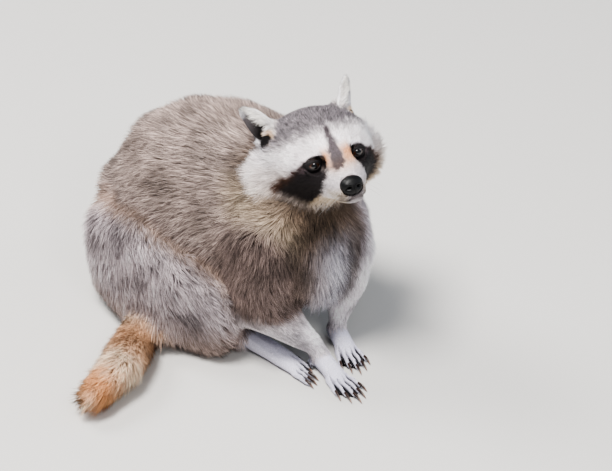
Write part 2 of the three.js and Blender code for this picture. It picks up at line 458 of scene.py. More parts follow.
head_depth = (
    1.2
    + 3.5 * smooth(h[:, 1], -15, 30)
    + 6.5 * smooth(np.abs(h[:, 0]), 30, 58) * smooth(h[:, 1], 12, 50) * smooth(h[:, 2], 22, -5)
    + 5.0 * smooth(h[:, 1], 55, 110)
)
limb_depth = 3.5 + 7.0 * smooth(points[:, 2], 55 * MM, 130 * MM)
depth = np.full(len(points), 13.5)
for mask, value in (
    (on_head, head_depth),
    (on_ear, 1.0),
    (on_tail, 14.5),
    (on_foreleg, limb_depth),
    (on_foot, 0.7),
    (on_thigh, 12.5),
):
    depth = np.where(mask > 0.5, value, depth)
depth = spread(depth, edges, 60, 0.5 * np.clip(1 - on_ear - on_foot - face_like, 0.02, 1))
pace = 0.5 * (1 - np.clip(on_ear + on_foot, 0, 0.7))
inward = spread(normals_of(points, triangles), edges, 12, pace)
points = points - unit(inward) * (depth * MM + GAP)[:, None]

# fingers: the skin sinks between them, so that each stands free of the next; the clefts between them
# take a painted shade
SOLE = 0.9 * MM
shaded_cleft = np.zeros(len(points))
for foot, long in FINGER.items():
    off_line, along, near = finger_place(points, foot)
    free = smooth(along, -long, -long * 0.78) * belongs(foot) * (near < 8)
    half = np.interp(along, (-long, -0.6 * long, -6, 2), (0.41, 0.34, 0.29, 0.26))
    arch = np.sqrt(np.clip(1 - (off_line / half) ** 2.6, 0, 1))
    knuckle = 1 + 0.10 * hump(along + long * 0.42, 3.2) - 0.08 * hump(along + 6, 3)
    above = np.maximum(points[:, 2] - SOLE, 0)
    points[:, 2] -= above * free * (1 - arch * knuckle)
    shaded_cleft = np.maximum(shaded_cleft, free * smooth(off_line, half - 0.12, half - 0.02))

# ears: the front of each is hollowed until only a thin shell is left inside its rim
EAR_BASE, EAR_TIP = np.array((37, 62, 16.0)), np.array((55, 83, 50.0))
EAR_ACROSS = unit(np.array((0.44, 0.65, -0.63)))
EAR_SHELL = 5.0


def ear_frame(side):
    """The ear's base, its way up, across it and out of its hollow, in the head."""
    flip = np.array((side, 1, 1))
    rise = unit(EAR_TIP - EAR_BASE)
    return EAR_BASE * flip, rise * flip, EAR_ACROSS * flip, unit(np.cross(EAR_ACROSS, rise)) * flip


def ear_place(places, side):
    """Up the ear in mm, and how far across it, where 1 is the rim."""
    base, rise, across, _ = ear_frame(side)
    up = (places - base) @ rise
    half = np.interp(up, (-8, 0, 10, 28, 40, 47), (17.5, 17.5, 17, 14, 9, 2.5))
    return up, (places - base) @ across / half


h = in_head(points)
facing = normals_of(points, triangles) @ TURN
is_hollow = np.zeros(len(h))
tree = tree_of(h, triangles)
for side in (-1, 1):
    base, rise, across, out = ear_frame(side)
    up, over = ear_place(h, side)
    inside = (h[:, 0] * side > 20) & (up > -9) & (up < 44) & (on_ear + on_head > 0)
    inside &= (np.abs(over) < 0.97) & (facing @ out > 0.15)
    hollow = smooth(np.abs(over), 0.93, 0.66) * smooth(up, -9, 3) * smooth(up, 44, 36)
    hollow = np.where(inside, hollow, 0)
    is_hollow = np.maximum(is_hollow, smooth(hollow, 0.2, 0.6))
    for i in np.nonzero(hollow > 0)[0]:
        spot = Vector(h[i])
        hit = tree.ray_cast(spot - Vector(out) * 0.5, -Vector(out), 24)
        if hit[0] is not None:
            thick = (hit[0] - spot).length
            h[i] -= out * max(thick - EAR_SHELL, 0) * hollow[i]

# mouth: a shallow crease from under the nose back along the jaw, with soft lips
MOUTH = ((0, -41, -37.5), (7, -37, -39), (12, -28, -40), (15, -15, -41), (19, -3, -40), (24, 6, -37))


def from_line(places, line):
    """Distance of each place from a broken line, and how far along it, 0 to 1."""
    best, along = np.full(len(places), 1e9), np.zeros(len(places))
    for i, (a, b) in enumerate(zip(line[:-1], line[1:])):
        a, b = np.array(a, float), np.array(b, float)
        t = np.clip((places - a) @ (b - a) / ((b - a) @ (b - a)), 0, 1)
        gap = np.linalg.norm(places - a - t[:, None] * (b - a), axis=1)
        along = np.where(gap < best, (i + t) / (len(line) - 1), along)
        best = np.minimum(gap, best)
    return best, along


folded = np.stack((np.abs(h[:, 0]), h[:, 1], h[:, 2]), axis=1)  # both halves of the face as one
outwards = normals_of(h, triangles)

# eyelids: the skin round each eye is drawn over the ball to an almond opening
OPENING = (5.5, 3.3)  # half its width and half its height
ALMOND = 1.8  # how pointed its corners are, where 2 makes an ellipse
LID = 0.9


def eye_frame(side):
    """The way the eye looks, outwards across it, and up it, in the head."""
    gaze = unit(np.array((0.06 * side, -1, -0.10)))
    out = unit(np.cross(gaze, (0, 0, -1.0))) * side
    out = unit(out - gaze * (out @ gaze)) * math.cos(0.14) + np.array((0, 0, 1.0)) * math.sin(0.14)
    out = unit(out - gaze * (out @ gaze))
    above = unit(np.cross(gaze, out)) * -side
    return gaze, out, above * np.sign(above[2])


def opening(places, side):
    """Below 1 inside the opening, above 1 on the lids; huge behind the eye."""
    gaze, out, above = eye_frame(side)
    way = unit(places - EYE_AT[side]) * EYE_RADIUS
    s, t = way @ out, way @ above
    m = (np.abs(s / OPENING[0]) ** ALMOND + np.abs(t / OPENING[1]) ** ALMOND) ** (1 / ALMOND)
    return np.where(way @ gaze > 0, m, 9.0)


for side in (-1, 1):
    centre = EYE_AT[side]
    reach = np.linalg.norm(h - centre, axis=1)
    m = opening(h, side)
    ball = EYE_RADIUS + LID + 0.3 * np.clip(m - 1, 0, 1) - 9 * smooth(m, 1.3, 2.6)
    lids = (reach + ball + np.sqrt((reach - ball) ** 2 + 1.0)) / 2
    lids = reach + (lids - reach) * smooth(m, 2.6, 1.9)
    target = np.where(m < 1, EYE_RADIUS - 1.6, lids)
    moved = centre + (h - centre) * (target / np.maximum(reach, 1e-6))[:, None]
    near = (reach < 16) & (on_head > 0) & (m < 2.6)
    h = np.where(near[:, None], moved, h)

gap, along = from_line(folded, MOUTH)
crease = hump(gap, 1.4) * smooth(along, 1.0, 0.8)
lips = hump(gap - 3.0, 1.8) * smooth(along, 1.0, 0.7)
h += outwards * (0.6 * lips - 1.1 * crease)[:, None] * (on_head > 0)[:, None]
points = from_head(h)
write(skin_mesh, points)

# markings: what grows at each point of the skin, with lengths in mm
place = points / MM
px, py, pz = place.T
normals = unit(spread(normals_of(points, triangles), edges, 4))
x, y, z = h.T
side_x = np.abs(x)


def soften(mask, rounds):
    return spread(mask, edges, rounds)


def mix(field, where, value):
    """field moved towards value, or towards a colour, by as much as where says."""
    where = where.reshape(-1, *(1,) * (field.ndim - 1))
    return field + where * (np.asarray(value, float) - field)


def dye(red, green, blue):
    """A colour as the eye reads it, 0 to 255, in the linear light of the shader."""
    c = np.array((red, green, blue)) / 255
    return np.where(c <= 0.04045, c / 12.92, ((c + 0.055) / 1.055) ** 2.4)


def between(first, last, share):
    return dye(*first) + share[:, None] * (dye(*last) - dye(*first))


def drift(places, scale, shift=(0, 0, 0)):
    """Smooth noise over the places, from about -1 to 1."""
    return np.array([noise.noise(Vector(p) * scale + Vector(shift)) for p in places])


def along_line(places, line):
    """How far each place is along a broken line, 0 to 1, and the line's way there."""
    along = from_line(places, line)[1]
    step = np.minimum((along * (len(line) - 1)).astype(int), len(line) - 2)
    return along, unit(np.diff(np.array(line, float), axis=0))[step]


def within(across, up, outline):
    """Signed distance to a flat outline in mm, negative inside it."""
    inside = np.zeros(len(across), bool)
    best = np.full(len(across), 1e9)
    for (ax, ay), (bx, by) in zip(outline, outline[1:] + outline[:1]):
        t = ((across - ax) * (bx - ax) + (up - ay) * (by - ay)) / ((bx - ax) ** 2 + (by - ay) ** 2)
        t = np.clip(t, 0, 1)
        best = np.minimum(best, np.hypot(across - ax - t * (bx - ax), up - ay - t * (by - ay)))
        crosses = (ay > up) != (by > up)
        inside ^= crosses & (across < (bx - ax) * (up - ay) / (by - ay + 1e-9) + ax)
    return np.where(inside, -best, best)


MASK = (  # outwards and up from the middle of the face, in mm
    (14, 6.5), (12.5, 0), (12.5, -7), (16.5, -13), (20, -20), (21.5, -28), (21.5, -38), (25, -45),
    (35, -50), (45, -48.5), (51.5, -41), (52.5, -31), (47.5, -18.5), (41, -9.5), (34.5, -1.8),
    (28, 2.2), (21, 3.5),
)
STRIPE = (
    (-3.5, 24), (1.5, 24), (3.3, 14), (4.6, 5), (4.6, -4), (0, -11.5), (-10.5, -11.5), (-10.8, -4),
    (-8, 5), (-5, 14),
)
BROW_LINE = ((0, 20), (5, 22.5), (10, 22), (22, 19.5), (33, 17), (41, 13), (51, 8), (60, 2))
TAIL_LINE = (
    (-26, 52, 19), (-62, 18, 20), (-102, -14, 21), (-146, -42, 23), (-190, -64, 24), (-256, -80, 21),
)
RING_PLACES = (0.0, 0.15, 0.25, 0.35, 0.45, 0.55, 0.62, 0.70, 0.76, 0.81, 0.86, 0.91, 0.965, 1.0)
RING_DEPTHS = (0.2, 0.8, 0.2, 0.8, 0.2, 0.8, 0.8, 0.5, 0.2, 0.2, 0.85, 0.90, 0.25, 0.5)
LEG_LINES = {
    -1: ((-48, -126, 134), (-58, -134, 94), (-60, -142, 62), (-46, -167, 43), (-30, -190, 20)),
    1: ((36, -140, 138), (36, -162, 100), (30, -168, 64), (23, -167, 42), (17, -172, 20)),
}

on_face = (on_head > 0).astype(float)
head_soft, ear_soft = soften(np.clip(on_head, 0, 1), 8), soften(on_ear, 3)
thigh_soft, leg_soft, tail_soft = soften(on_thigh, 260), soften(on_foreleg, 120), soften(on_tail, 10)
foot_soft = soften(on_foot, 6)
blotch = drift(place, 0.035, (4, 1, 7))  # about 30 mm across
waver = drift(place, 0.07)  # about 15 mm across
ripple = drift(place, 0.22, (9, 3, 5))  # about 5 mm across
front = smooth(-normals[:, 1], 0.1, 0.7)

UNDERFUR, AGOUTI, CREAM = (40, 33, 32), (80, 69, 65), (176, 159, 151)
coat = {
    "root": dye(*UNDERFUR),
    "middle": dye(*AGOUTI),
    "band": dye(*CREAM),
    "dark_tips": 0.42,  # the share of locks with dark tips
    "length": 24.0,
    "width": 0.66,
    "density": 0.80,  # locks to a square mm
    "clumping": 0.24,
}
coat = {name: np.full((len(place), *np.shape(value)), value) for name, value in coat.items()}
flow = np.tile((0.0, 1.0, -0.75), (len(place), 1))


def lay(where, root=None, middle=None, band=None, **other):
    """Moves what grows towards the values given, by as much as where says."""
    for name, value in {"root": root, "middle": middle, "band": band, **other}.items():
        if value is not None:
            value = dye(*value) if isinstance(value, tuple) else value
            coat[name] = mix(coat[name], where, value)


lay(smooth(px, 40, 80), density=0.58)

# neck and chest: brown-grey, with a paler and cooler stripe down the middle
chest = front * smooth(py, -95, -130) * (1 - head_soft)
lay(chest, (34, 27, 25), (62, 50, 45), (136, 118, 108))
flow = mix(flow, chest, (0, 0.1, -1.0))
bib = hump(px + 4, 17) * chest * smooth(pz, 165, 125)
lay(bib * 0.85, None, (164, 160, 172), (238, 236, 248))
collar = (1 - head_soft) * smooth(np.linalg.norm(place - (-28, -150, 205), axis=1), 78, 52)
lay(collar, length=17, width=0.5, density=1.15)
# the neck fur under the chin is darker: its own brown, deepened with painted shade from the head
# above
lay(collar * 0.8, None, (54, 43, 35), (116, 98, 81))
lay(collar * smooth(px, -28, -62) * 0.8, None, (138, 119, 98), (220, 203, 180))
left_chest = smooth(-normals[:, 1], -0.1, 0.5) * smooth(px, 18, 44) * smooth(pz, 205, 165)
left_chest = left_chest * smooth(py, -85, -115) * (1 - head_soft)
lay(left_chest * 0.7, (96, 86, 90))
lay(left_chest * 0.85, None, (160, 148, 156), (234, 226, 236))

# haunches: pale lilac-grey over dark roots, fanning from the hip down and forwards
for side in (-1, 1):
    fan = unit(place - (62 * side, 62, 120)) + (0, -0.15, -0.35)
    flow = mix(flow, thigh_soft * (px * side > 0), fan)
lay(thigh_soft, (62, 53, 55), (106, 95, 97), (214, 202, 205), dark_tips=0.34, clumping=0.34)
hem = thigh_soft * smooth(pz, 66, 24)
lay(hem * 0.85, None, (98, 78, 68))
lay(hem * 0.7, band=(180, 156, 142))
# darker brown along the crease where each haunch meets the body: the fur's own warm brown, deepened
# with painted shade in the crease
halfway = soften(on_thigh, 110)
fold_shade = 4 * halfway * (1 - halfway) * (smooth(pz, 60, 100) * (1 - tail_soft))
lay(fold_shade * 0.6, (40, 31, 27))
lay(fold_shade * 0.75, None, (84, 63, 48))
lay(fold_shade * 0.55, band=(150, 116, 86))

# forelegs: brown with pale tips at the shoulder, white from the elbow down
white_from = 62 + 66 * smooth(px, -12, 8) + 7 * waver
shoulder = leg_soft * smooth(pz, white_from - 8, white_from + 12) * (1 - left_chest)
lay(shoulder, (36, 28, 26), (70, 57, 53), (148, 130, 124))
forearm = leg_soft * smooth(pz, white_from + 10, white_from - 16)
lay(forearm, (184, 175, 181), (214, 204, 210), (250, 244, 250), dark_tips=0.04)
for side, line in LEG_LINES.items():
    here = leg_soft * (px > -10 if side > 0 else px <= -10)
    flow = mix(flow, here, along_line(place, line)[1])
low_chest = front * smooth(py, -80, -110) * smooth(pz, 125, 80) * (1 - thigh_soft)
lay(low_chest, length=16 + 20 * np.clip(bib * 1.6, 0, 1))
lay(leg_soft, length=8 + 13 * smooth(pz, 55, 125), width=0.52, clumping=0.2)
lay(leg_soft * smooth(pz, 70, 45), length=7, density=1.35)

# tail: cream and orange-brown rings, the tip darkest
ring, ways = along_line(place, TAIL_LINE)
rings = np.interp(ring + 0.035 * waver + 0.02 * ripple, RING_PLACES, RING_DEPTHS)
rings = np.clip(rings + 0.5 * (px < -268) + 0.5 * ripple * (ring > 0.95), 0, 1)
flow = mix(flow, tail_soft, ways)
lay(tail_soft, (140, 104, 80), (224, 190, 160), (250, 230, 208))
lay(tail_soft * rings, None, (186, 116, 68), (226, 160, 106))
tail_root = tail_soft * smooth(ring, 0.76, 0.64)
lay(tail_root * 0.7, None, (92, 70, 56))
lay(tail_root * 0.5, band=(168, 140, 116))
lay(tail_soft, dark_tips=0.06 + 0.10 * rings, length=25, width=0.6, density=1.6, clumping=0.2)

# feet: close, pale and short
lay(foot_soft, (116, 114, 124), (190, 188, 204), (234, 233, 245), dark_tips=0.03)
lay(foot_soft, length=4.2, width=0.42, density=1.15, clumping=0.16)
# the clefts between the fingers are painted near-black: painted shade between the fingers, where
# nothing grows
lay(shaded_cleft, *[(20, 17, 18)] * 3)
coat["density"] *= 1 - shaded_cleft
for name, turn in HEADINGS.items():
    turn = math.radians(turn)
    flow = mix(flow, foot_soft * soften(belongs(name), 6), (math.sin(turn), -math.cos(turn), -0.1))

# head: white brows, cheeks and muzzle, a black mask, a grey crown and a dark stripe
onto = TURN.T  # from the head's own directions to the room's
flow = mix(flow, head_soft, unit(h - (0, -52, -20)) @ onto)
lay(head_soft, (160, 148, 149), (226, 215, 217), (252, 248, 250), dark_tips=0.04, clumping=0.26)
lay(head_soft * smooth(z, 4, -14) * smooth(y, 4, 30), None, (196, 182, 178), (236, 226, 222))
jaw = head_soft * smooth(z, -22, -42) * smooth(y, -14, 8)
lay(jaw, (104, 84, 68), (170, 146, 118), (216, 196, 168))
low_cheek = head_soft * smooth(z, -14, -34) * smooth(y, 24, 44)
lay(low_cheek * 0.7, None, (158, 136, 114), (218, 200, 180))
# the throat under the chin is darker brown: its own fur colour, deepened with painted shade under the
# head
throat = head_soft * smooth(z, -46, -58) * smooth(y, -4, 14)
lay(throat, None, (84, 67, 54), (146, 124, 102))
nape = head_soft * smooth(y, 66, 92) * smooth(z, -30, 0)
lay(nape, UNDERFUR, AGOUTI, CREAM, dark_tips=0.4)

line_z = np.interp(side_x, *zip(*BROW_LINE)) + ripple * 3.5
crown = head_soft * smooth(z - line_z, -6.0, 5.0) * smooth(y, 92, 66)
lay(crown, (34, 30, 33), (50, 46, 48), (151, 144, 149))
lay(head_soft * smooth(z - line_z, -12.0, 4.0) * smooth(y, 92, 66), dark_tips=0.62)
stripe = head_soft * smooth(within(x, z, STRIPE) + ripple * 2.8, 2.2, -1.8) * smooth(y, 40, 10)
lay(stripe, (30, 25, 28))
lay(stripe * 0.95, None, (42, 35, 38), (72, 61, 67))
lay(stripe * smooth(z, 3, -8) * 0.6, None, (50, 36, 30), (84, 64, 54))
bridge = head_soft * smooth(y, 8, -4) * smooth(z, -22, -4)
tan_patch = bridge * smooth(side_x, 16.0, 12.5) * smooth(z, 12, 2) * (1 - stripe)
lay(tan_patch * 0.95, None, (166, 102, 56))
lay(tan_patch * 0.9, band=(208, 148, 96))
muzzle = head_soft * smooth(y, -6, -20) * smooth(z, -4, -16) * (1 - stripe)
lay(muzzle, None, (172, 164, 166), (214, 208, 212))
muzzle_top = bridge * smooth(z, 4, -6) * smooth(z, -22, -14) * (1 - stripe)
lay(muzzle_top * 0.4, None, (186, 150, 120), (220, 194, 172))
side_muzzle = muzzle * smooth(z, -24, -33) * smooth(side_x, 6, 11)
lay(side_muzzle * 0.7, None, (172, 154, 124))
lay(side_muzzle * 0.6, band=(214, 198, 170))
# the dark lips along the mouth, and painted shade under the nose on the muzzle's underside
lip_gap, lip_along = from_line(np.stack((side_x, y, z), 1), MOUTH)
lip = head_soft * smooth(lip_gap, 2.6, 0.8) * smooth(lip_along, 0.9, 0.55)
shade_under_nose = head_soft * smooth(y, -22, -33) * smooth(z, -29, -34) * smooth(z, -42, -38)
lip_and_shade = np.clip(lip + 0.8 * shade_under_nose, 0, 1)
lay(lip_and_shade * 0.85, None, (66, 58, 56))
lay(lip_and_shade * 0.75, band=(104, 94, 90))
chin_shade = head_soft * smooth(z, -41.5, -44) * smooth(y, 8, -8)
lay(chin_shade * 0.8, None, (92, 74, 60))
lay(chin_shade * 0.6, band=(170, 150, 128))

patch = within(side_x, z, MASK) + 2.0 * ripple
mask = head_soft * smooth(patch, 1.8, -1.8) * smooth(y, 56, 46)
rusty = smooth(patch, -7, -1) * smooth(side_x, 30, 46)
mask_colours = between((27, 23, 24), (66, 42, 32), rusty), between((38, 33, 35), (88, 60, 46), rusty)
lay(mask, (16, 13, 13), *mask_colours, dark_tips=0.3)

long = 2.6 + 4.2 * smooth(y, -18, 12) + 4.0 * smooth(y, 12, 40) + 12.0 * smooth(y, 70, 110)
long = long + 12 * smooth(side_x, 34, 58) * smooth(y, 18, 50) * smooth(z, 18, -4)
long = np.maximum(long - 2.4 * smooth(z, -32, -42) * smooth(y, 36, 14), 2.5)
lay(head_soft, length=long, width=np.clip(0.30 + 0.015 * long, 0.33, 0.6))
lay(head_soft, density=np.clip(3.3 - 0.16 * long, 1.1, 2.8))

# ears: white at the rim, grey behind, dark in the hollow and tan at the base
up_ear, over_ear, out_ear = np.zeros(len(h)), np.full(len(h), 9.0), np.zeros(len(h))
for side in (-1, 1):
    base, rise, across, out = ear_frame(side)
    up, over = ear_place(h, side)
    mine = (x * side > 15) & (on_ear + on_head > 0)
    up_ear, over_ear = np.where(mine, up, up_ear), np.where(mine, over, over_ear)
    out_ear = np.where(mine, normals @ TURN @ out, out_ear)
    flow = mix(flow, ear_soft * mine, rise @ onto)
ear_soft = np.maximum(ear_soft, soften(is_hollow, 2))
rim = ear_soft * np.clip(smooth(np.abs(over_ear), 0.72, 0.86) + smooth(up_ear, 38, 44), 0, 1)
ear_foot = ear_soft * smooth(up_ear, 17, 6) * smooth(over_ear, 0.1, -0.35)
well = ear_soft * is_hollow * smooth(over_ear, -0.6, -0.35) * smooth(up_ear, 44, 37) * (1 - rim)
well = well * np.where(x > 0, smooth(over_ear, 0.5, 0.2), 1)
fringe = ear_soft * smooth(out_ear, -0.1, 0.3) * smooth(over_ear, -0.3, -0.6) * smooth(up_ear, 0, 6)
lay(ear_soft, (158, 152, 154), (192, 188, 194), (224, 222, 228))
lay(ear_foot * 0.8, None, (186, 146, 100))
lay(ear_foot * 0.7, band=(222, 190, 148))
lay(rim, None, (228, 226, 228), (248, 247, 248))
lay(well, *[between((24, 21, 21), (84, 79, 81), smooth(up_ear, 16, 38))] * 3)
lay(fringe * (1 - ear_foot), None, (226, 220, 212), (248, 245, 240))
lay(ear_soft, length=3.4 + 0.8 * rim, width=0.36, density=3.0 * (1 - 0.7 * well), clumping=0.15)
lay(fringe * smooth(up_ear, 42, 30), length=12)
lay(ear_soft * smooth(over_ear, 0.45, 0.75), length=2.2)
for side in (-1, 1):
    _, rise, across, out = ear_frame(side)
    combed = (across * 0.9 + rise * 0.4 + out * 0.2) @ onto
    flow = mix(flow, fringe * (x * side > 15), combed)

# nothing grows on the lids' edges, in the sockets, on the lips or under the nose pad
eye_gap = eye_distance(h)
lid_edge = np.where(eye_gap < 16, np.min([opening(h, side) for side in (-1, 1)], axis=0), 9.0)
bare = smooth(lid_edge, 1.28, 1.16) + smooth(lip_gap, 1.4, 0.7) * smooth(lip_along, 0.9, 0.6)
bare = on_face * np.clip(bare, 0, 1)
black = np.maximum(on_face * smooth(lid_edge, 1.42, 1.2), bare * 0.9)
pad_gap = np.linalg.norm((h - (-2, -37, -26)) / (11.5, 9.5, 9.5), axis=1)
bare = np.maximum(bare, on_face * smooth(pad_gap, 1.1, 1.0))
below = np.max([(h - EYE_AT[s]) @ -eye_frame(s)[2] for s in (-1, 1)], axis=0)
crescent = on_face * smooth(lid_edge, 1.45, 1.6) * smooth(lid_edge, 2.1, 1.8)
crescent = crescent * smooth(below, 0.5, 3) * (eye_gap < 14)
lay(crescent * 0.4, *[(98, 84, 88)] * 3)
coat["density"] *= 1 - smooth(bare, 0.3, 0.6)
lay(on_face * smooth(eye_gap, 17, 10), length=2.4)
lay(black, *[(22, 19, 20)] * 3)

mottle = (1 - head_soft) * (1 - tail_soft) * (1 - foot_soft)
coat["middle"] *= (1 + mottle * (0.80 * blotch + 0.50 * waver))[:, None]
coat["band"] *= (1 + mottle * (0.60 * blotch + 0.40 * waver))[:, None]
root, middle, band, dark_tips, length, width, density, clumping = coat.values()
flow = spread(flow, edges, 10)
flow = unit(flow - normals * (flow * normals).sum(axis=1, keepdims=True))
coat_depth = np.maximum(depth, 0.5)
skin_colour = 0.25 + 0.75 * smooth(length, 14, 5)[:, None]  # how far the coat's own colour shows
skin_colour = root + (0.8 * middle + 0.2 * band - root) * skin_colour


def tint(mesh, name, colours):
    """Keeps one colour to a point, for the shader to read."""
    made = mesh.attributes.new(name, "FLOAT_COLOR", "POINT")
    rows = np.concatenate((colours, np.ones((len(colours), 1))), axis=1)
    made.data.foreach_set("color", rows.astype(np.float32).ravel())


tint(skin_mesh, "coat", np.clip(skin_colour, 0, 1))
PLAIN_KEPT = 0.16  # the share of the faces that stays where the skin is plain
kept_fine = (fine[triangles].max(axis=1) > 0.5).mean()
ratio = kept_fine + PLAIN_KEPT * (1 - kept_fine)
hide = with_modifier(skin_mesh, "DECIMATE", 1 - fine, ratio=ratio)
hide.name = "skin"
hide.shade_smooth()


def flecked(finish, grain, *stops):
    """The colours laid on a mesh, made darker and paler by a fine grain."""
    laid = finish.add("ShaderNodeAttribute", {"attribute_name": "coat"})
    fleck = finish.add("ShaderNodeValToRGB", {"stops": stops}, {"Fac": grain})
    finish.feed("Base Color", finish.blend(1.0, laid, fleck, "MULTIPLY"))


hide_finish = Finish("short_coat", Roughness=0.75, Specular_IOR_Level=0.25)
grain = hide_finish.noise(800.0, 3.0)
flecked(hide_finish, grain, (0.3, (0.84, 0.83, 0.83, 1)), (0.7, (1.08, 1.08, 1.08, 1)))
hide_finish.feed("Normal", hide_finish.bump(grain, 0.4, 0.4 * MM))
hide.materials.append(hide_finish.material)
skin = show("skin", hide)
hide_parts(*replaced)
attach(skin, "root")
print("skin triangles", sum(len(f.vertices) - 2 for f in hide.polygons))

# ---------------------------------------------------------------------------
# Eyes. A glass ball in each socket, painted behind with a dark brown iris and a
# round pupil, with the clear front standing a little proud.
IRIS, PUPIL = 0.70, 0.36  # radii as a part of the ball's
glass = Finish("eye_glass", Roughness=0.06, Coat_Weight=1.0, Coat_Roughness=0.02, IOR=1.45)
spot = glass.add("ShaderNodeTexCoord", out=3)
aside, above = (glass.add("ShaderNodeSeparateXYZ", None, {0: spot}, out=k) for k in range(2))
off_axis = (aside**2.0 + above**2.0) ** 0.5 * (1 / (EYE_RADIUS * MM))
spokes = glass.noise(900.0, 4.0, spot, 0.7)
glass.feed(
    "Base Color",
    glass.add(
        "ShaderNodeValToRGB",
        {
            "stops": (
                (PUPIL - 0.02, (0.001, 0.001, 0.001, 1)),
                (PUPIL + 0.05, (0.016, 0.006, 0.003, 1)),
                (IRIS - 0.12, (0.062, 0.021, 0.008, 1)),
                (IRIS, (0.006, 0.003, 0.002, 1)),
                (IRIS + 0.12, (0.02, 0.014, 0.012, 1)),
            )
        },
        {"Fac": off_axis + (spokes - 0.5) * 0.10},
    ),
)


def ball_mesh(name, radius, columns, rows, shape):
    """A ball of quads about its own z axis, each point placed by shape(direction)."""
    work = bmesh.new()
    bmesh.ops.create_uvsphere(work, u_segments=columns, v_segments=rows, radius=1)
    for v in work.verts:
        v.co = shape(v.co.normalized()) * radius
    mesh = bpy.data.meshes.new(name)
    work.to_mesh(mesh)
    work.free()
    mesh.shade_smooth()
    return mesh


def cornea(way):
    """The front of the ball stands out a little over the iris."""
    return way * (1 + 0.09 * float(smooth(way.z, math.cos(0.80), math.cos(0.25))))


for side, name in ((-1, "eye_right"), (1, "eye_left")):
    gaze = eye_frame(side)[0]
    eye = show(name + "_ball", ball_mesh(name, EYE_RADIUS * MM, 48, 32, cornea))
    eye.data.materials.append(glass.material)
    put_in_head(eye, EYE_AT[side], Vector(gaze).to_track_quat("Z", "Y").to_matrix())
    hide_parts(name)
    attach(eye, "root")

# ---------------------------------------------------------------------------
# Eye rims. The bare black edge of each pair of lids, a thin moist roll of skin
# that runs round the opening and closes against the ball.
RIM_STEPS, RIM_SIDES, RIM_RADIUS = 72, 8, 0.6
rim_finish = Finish("bare_skin", Roughness=0.55, Specular_IOR_Level=0.3)
pores = rim_finish.noise(900.0, 3.0)
rim_finish.feed(
    "Base Color", rim_finish.blend(pores, (0.006, 0.005, 0.005, 1), (0.020, 0.015, 0.015, 1))
)
rim_finish.feed("Normal", rim_finish.bump(pores, 0.3, 0.3 * MM))


def tube(path, radii, sides, squash=1.0, closed=False, ups=(0, 0, 1.0)):
    """Points and faces of a round tube along a path, open or closed on itself."""
    path = np.asarray(path, float)
    ahead = np.roll(path, -1, 0) - np.roll(path, 1, 0) if closed else np.gradient(path, axis=0)
    ahead = unit(ahead)
    across = unit(np.cross(np.broadcast_to(ups, path.shape), ahead))
    above = np.cross(ahead, across)
    turn = np.arange(sides) * 2 * math.pi / sides
    ring = across[:, None] * np.cos(turn)[:, None] + above[:, None] * np.sin(turn)[:, None] * squash
    verts = (path[:, None] + ring * np.asarray(radii, float).reshape(-1, 1, 1)).reshape(-1, 3)
    count, faces = len(path), []
    for i in range(count if closed else count - 1):
        j = (i + 1) % count
        for k in range(sides):
            m = (k + 1) % sides
            faces.append((i * sides + k, i * sides + m, j * sides + m, j * sides + k))
    if not closed:
        faces.append(tuple(range(sides))[::-1])
        faces.append(tuple((count - 1) * sides + k for k in range(sides)))
    return verts, faces


def joined(name, parts):
    """One mesh from several lists of points and faces."""
    verts, faces, start = [], [], 0
    for some, theirs in parts:
        verts.append(some)
        faces += [tuple(start + i for i in face) for face in theirs]
        start += len(some)
    mesh = bpy.data.meshes.new(name)
    mesh.from_pydata(np.concatenate(verts).tolist(), [], faces)
    mesh.shade_smooth()
    return mesh


rolls = []
for side in (-1, 1):
    gaze, out, above = eye_frame(side)
    turn = np.arange(RIM_STEPS) * 2 * math.pi / RIM_STEPS
    s = OPENING[0] * np.sign(np.cos(turn)) * np.abs(np.cos(turn)) ** (2 / ALMOND)
    t = OPENING[1] * np.sign(np.sin(turn)) * np.abs(np.sin(turn)) ** (2 / ALMOND)
    ahead = np.sqrt(EYE_RADIUS**2 - s**2 - t**2)
    ways = unit(s[:, None] * out + t[:, None] * above + ahead[:, None] * gaze)
    path = EYE_AT[side] + ways * (EYE_RADIUS + 0.45)
    verts, faces = tube(path, np.full(RIM_STEPS, RIM_RADIUS), RIM_SIDES, 0.9, True, ways)
    rolls.append((from_head(verts), faces))
rims = show("eye_rims", joined("eye_rims", rolls))
rims.data.materials.append(rim_finish.material)
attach(rims, "root")

# ---------------------------------------------------------------------------
# Nose pad. Bare black leathery skin, moist, with two comma-shaped nostrils and
# a groove down the middle. It is set into the end of the muzzle.
PAD_AT, PAD_HALF = np.array((-2, -36.5, -26)), np.array((11.6, 9.5, 8.4))  # x, z, then -y
NOSTRIL_SLIT = ((6.0, -1.0), (10.5, -3.6))
pad_finish = Finish(
    "nose_leather", Roughness=0.45, Specular_IOR_Level=0.22, Coat_Weight=0.06, Coat_Roughness=0.3
)
pebbles = pad_finish.add(
    "ShaderNodeTexVoronoi",
    {"feature": "DISTANCE_TO_EDGE"},
    {"Vector": pad_finish.add("ShaderNodeTexCoord", out=3), "Scale": 1150.0},
)
pad_finish.feed(
    "Base Color",
    pad_finish.blend(
        pad_finish.noise(260.0), (0.002, 0.002, 0.0025, 1), (0.005, 0.0045, 0.005, 1)
    ),
)
pad_finish.feed("Roughness", 0.34 + pad_finish.noise(500.0) * 0.2)
pad_finish.feed("Normal", pad_finish.bump(pebbles, 0.35, 0.4 * MM))


